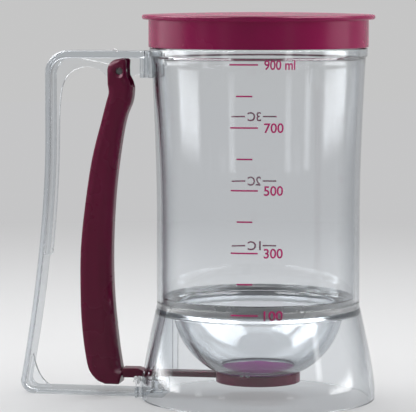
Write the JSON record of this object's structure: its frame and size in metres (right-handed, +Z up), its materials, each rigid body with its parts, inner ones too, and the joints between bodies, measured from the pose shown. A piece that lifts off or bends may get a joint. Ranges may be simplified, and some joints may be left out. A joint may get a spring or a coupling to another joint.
{
  "type": "pancake batter dispenser",
  "caption": "Clear measuring jug with a funnel bottom, a side handle, and a spring-returned trigger that swings a valve plate off the outlet; lift-off lid.",
  "frame": {"origin": "centre of the bounding box's footprint, on the plane that the foot ring and the handle stand on", "axes": "+Z up along the jug's axis; the handle and the trigger are on the -X side; Y is across the handle"},
  "size_m": [0.1712, 0.1118, 0.1846],
  "materials": {
    "clear_plastic": "clear rigid styrene, glossy, welded and moulded",
    "berry_plastic": "injection-moulded opaque plastic, glossy on the lid, satin on the trigger",
    "soft_seal": "soft food-grade silicone, satin",
    "steel": "bright stainless wire and rod"
  },
  "bodies": {
    "jug": {"measuring_tube": "clear_plastic", "funnel_base": "clear_plastic", "handle": "clear_plastic", "return_spring": "steel"},
    "trigger": {"trigger_lever": "berry_plastic", "valve_arm": "berry_plastic", "valve_seal": "soft_seal", "pivot_pin": "steel"},
    "lid": {"lid": "berry_plastic"}
  },
  "joints": [
    {"name": "trigger_pull", "type": "hinge", "parent": "jug", "child": "trigger", "pos_m": [-0.03685, 0, 0.1564], "axis": [0, 1, 0], "range_deg": [0, 8], "stiffness_Nm_per_rad": 0.6, "springref_deg": -14.32},
    {"name": "lid_lift", "type": "slide", "parent": "jug", "child": "lid", "axis": [0, 0, 1], "range_m": [0, 0.06]}
  ]
}
